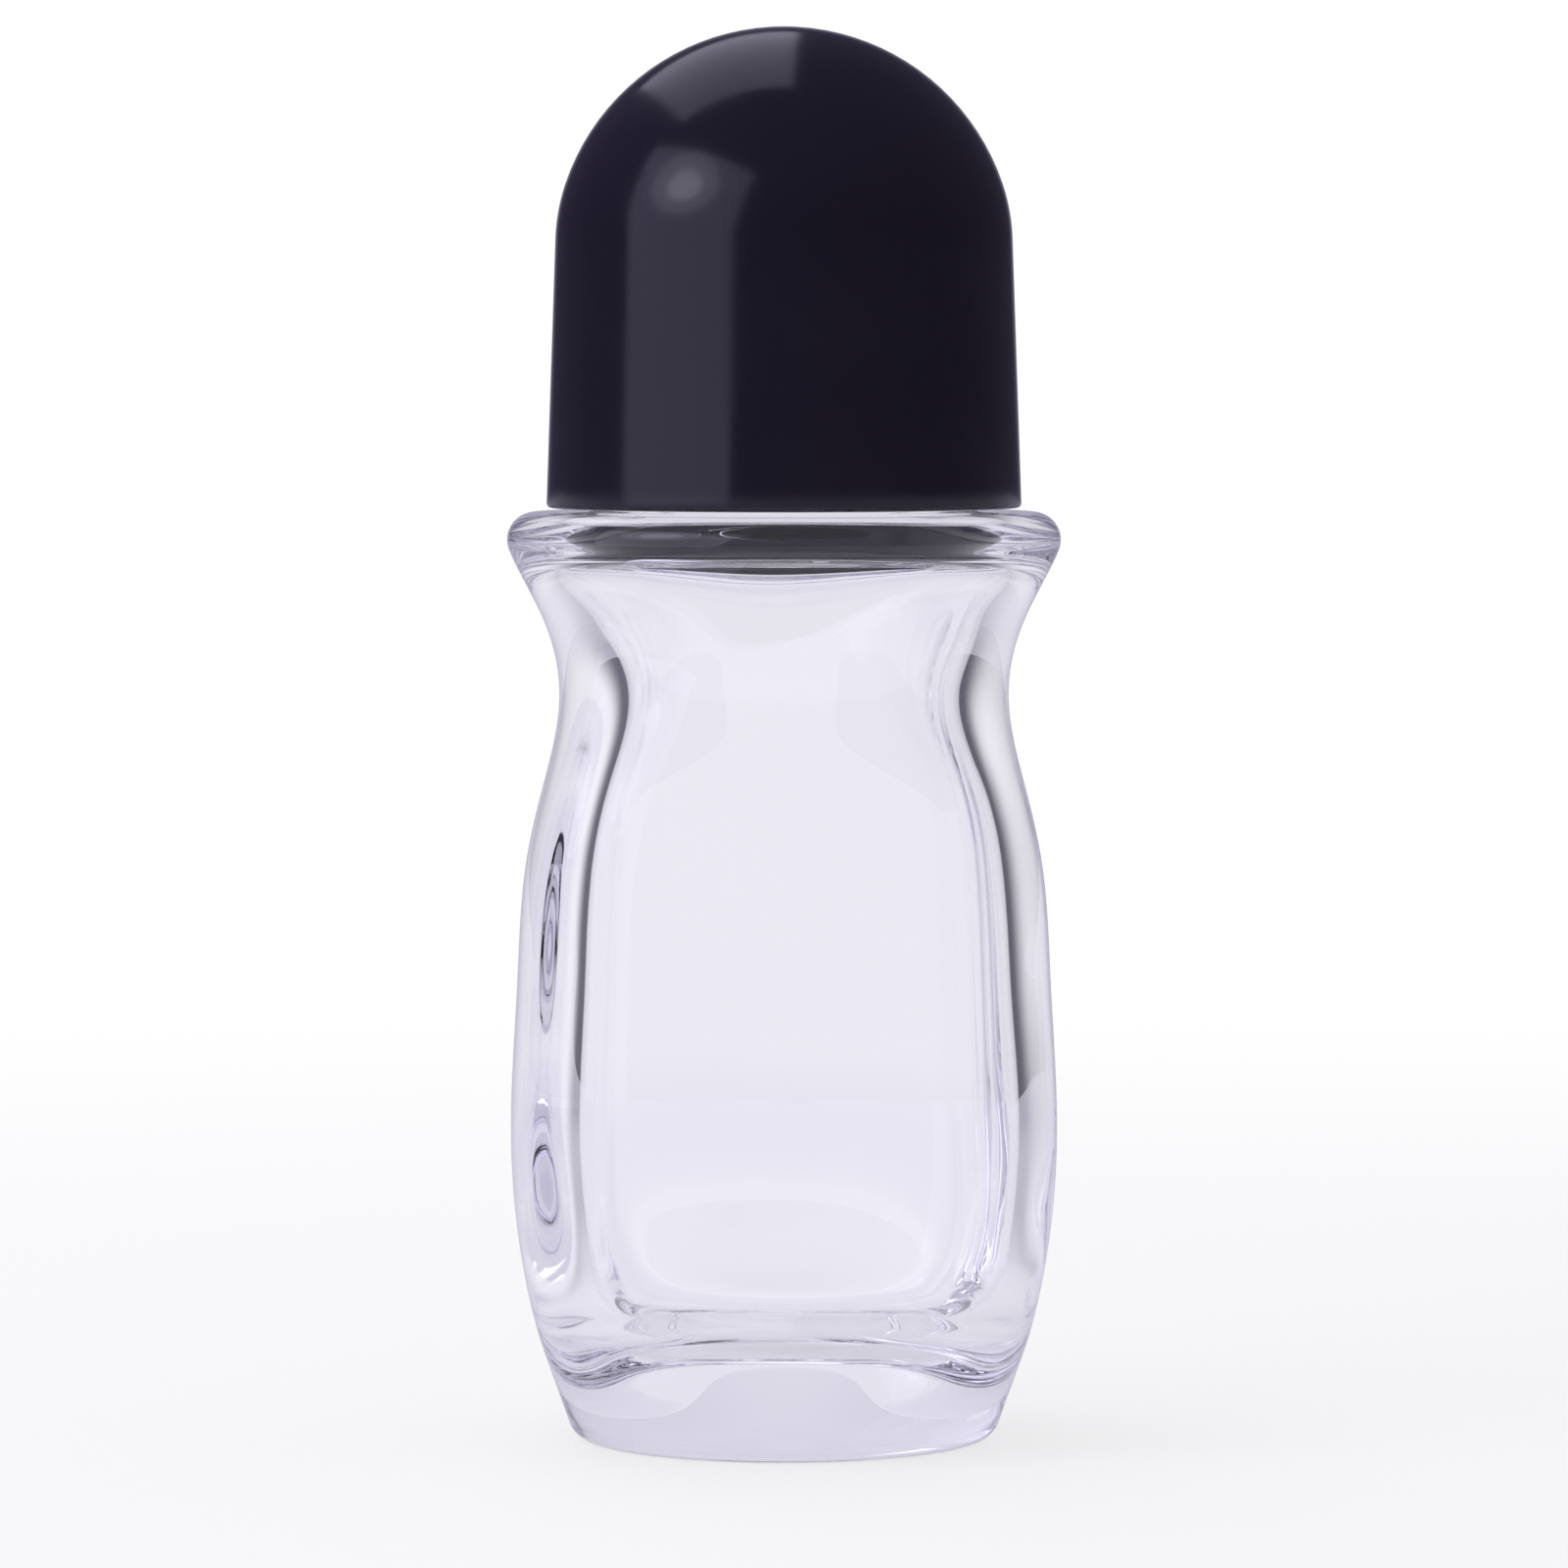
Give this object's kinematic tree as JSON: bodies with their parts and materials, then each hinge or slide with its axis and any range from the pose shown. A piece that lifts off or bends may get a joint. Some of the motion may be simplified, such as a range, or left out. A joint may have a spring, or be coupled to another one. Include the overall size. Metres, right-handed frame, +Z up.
{
  "type": "roll-on bottle",
  "caption": "Clear glass roll-on bottle with a wavy panelled body, a threaded neck with a plug and roller ball, and a domed black screw cap.",
  "frame": {"origin": "middle of the base, on the table the bottle stands on", "axes": "+Z up along the bottle's axis, -Y out of the front panel, +X to the right of the front panel"},
  "size_m": [0.04, 0.04, 0.1022],
  "materials": {
    "clear_glass": "polished",
    "housing_plastic": "satin",
    "ball_plastic": "gloss",
    "cap_black": "high gloss",
    "liner_black": "satin"
  },
  "bodies": {
    "bottle": {"glass_bottle": "clear_glass", "ball_housing": "housing_plastic"},
    "ball": {"roller_ball": "ball_plastic"},
    "cap": {"cap_shell": "cap_black"},
    "liner": {"cap_liner": "liner_black"}
  },
  "joints": [
    {"name": "ball_roll", "type": "hinge", "parent": "bottle", "child": "ball", "pos_m": [0, 0, 0.0858], "axis": [1, 0, 0], "continuous": true},
    {"name": "cap_lift", "type": "slide", "parent": "bottle", "child": "cap", "axis": [0, 0, 1], "range_m": [0, 0.034]},
    {"name": "cap_turn", "type": "hinge", "parent": "cap", "child": "liner", "pos_m": [0, 0, 0.0858], "axis": [0, 0, 1], "range_deg": [0, 1280]}
  ],
  "couplings": [
    {"joint": "cap_turn", "follows": "cap_lift", "rad_per_m": 654.5}
  ]
}
